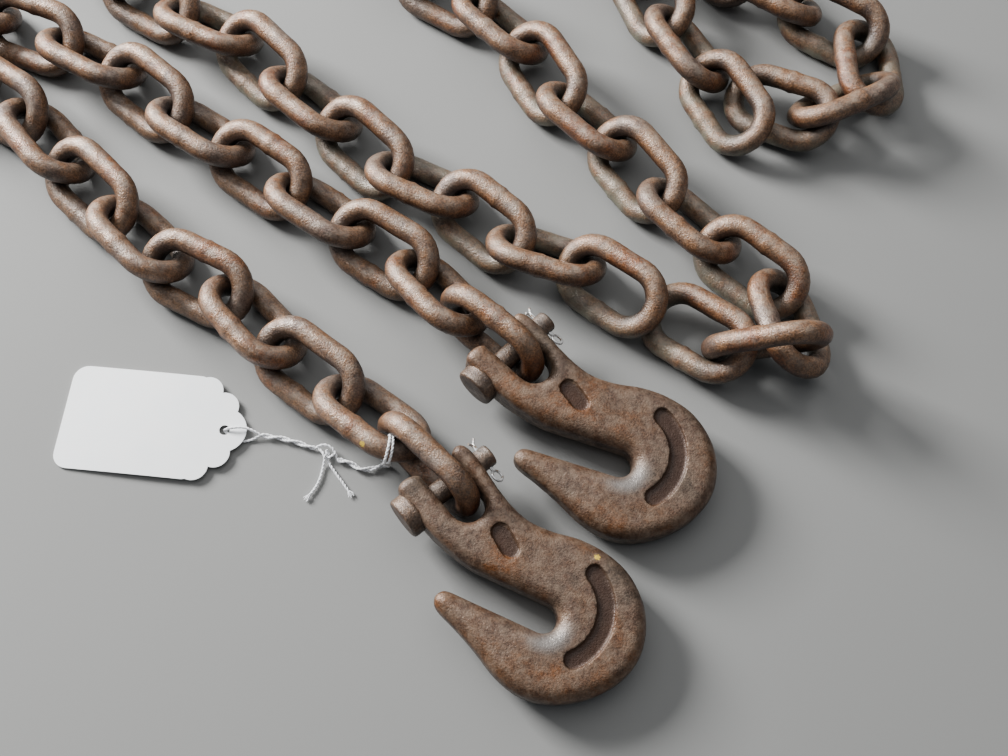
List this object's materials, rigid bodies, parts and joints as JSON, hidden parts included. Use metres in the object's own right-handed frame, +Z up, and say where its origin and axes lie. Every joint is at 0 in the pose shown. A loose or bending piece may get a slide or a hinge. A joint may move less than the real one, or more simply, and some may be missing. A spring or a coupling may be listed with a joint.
{
  "type": "heap of steel chain",
  "caption": "Welded steel binding chain lying in folds on the floor, with a clevis grab hook at each end and a string tag.",
  "frame": {"origin": "centre of the bounding box of the chain and hooks, without tag and string, on the floor that it lies on", "axes": "+Z up from the floor, +X to the right and +Y away from the viewer of the picture"},
  "size_m": [0.5694, 0.5306, 0.0454],
  "materials": {
    "link_steel": "rusted",
    "hook_steel": "forged and rusted, worn shiny in the throat",
    "pin_steel": "rusted",
    "cotter_wire": "bright wire",
    "card": "matt white card",
    "string": "twisted white cotton"
  },
  "bodies": {
    "root": {"clevis_pin_a": "pin_steel", "clevis_pin_b": "pin_steel", "cotter_a": "cotter_wire", "cotter_b": "cotter_wire", "end_link_a": "link_steel", "end_link_b": "link_steel", "far_chain_1": "link_steel", "far_chain_2": "link_steel", "far_chain_3": "link_steel", "far_chain_4": "link_steel", "far_chain_5": "link_steel", "far_chain_6": "link_steel", "far_chain_7": "link_steel", "far_chain_8": "link_steel", "grab_hook_a": "hook_steel", "grab_hook_b": "hook_steel", "link_a1": "link_steel", "link_a2": "link_steel", "link_a3": "link_steel", "link_a4": "link_steel", "link_a5": "link_steel", "link_a6": "link_steel", "link_a7": "link_steel", "link_a8": "link_steel", "link_b1": "link_steel", "link_b2": "link_steel", "link_b3": "link_steel", "link_b4": "link_steel", "link_b5": "link_steel", "link_b6": "link_steel", "link_b7": "link_steel", "link_c1": "link_steel", "link_c10": "link_steel", "link_c11": "link_steel", "link_c12": "link_steel", "link_c13": "link_steel", "link_c14": "link_steel", "link_c15": "link_steel", "link_c16": "link_steel", "link_c17": "link_steel", "link_c2": "link_steel", "link_c3": "link_steel", "link_c4": "link_steel", "link_c5": "link_steel", "link_c6": "link_steel", "link_c7": "link_steel", "link_c8": "link_steel", "link_c9": "link_steel", "link_e1": "link_steel", "link_e2": "link_steel", "link_e3": "link_steel", "link_e4": "link_steel", "link_e5": "link_steel", "link_e6": "link_steel", "link_e7": "link_steel", "link_e8": "link_steel", "string": "string", "tag": "card"}
  },
  "joints": []
}
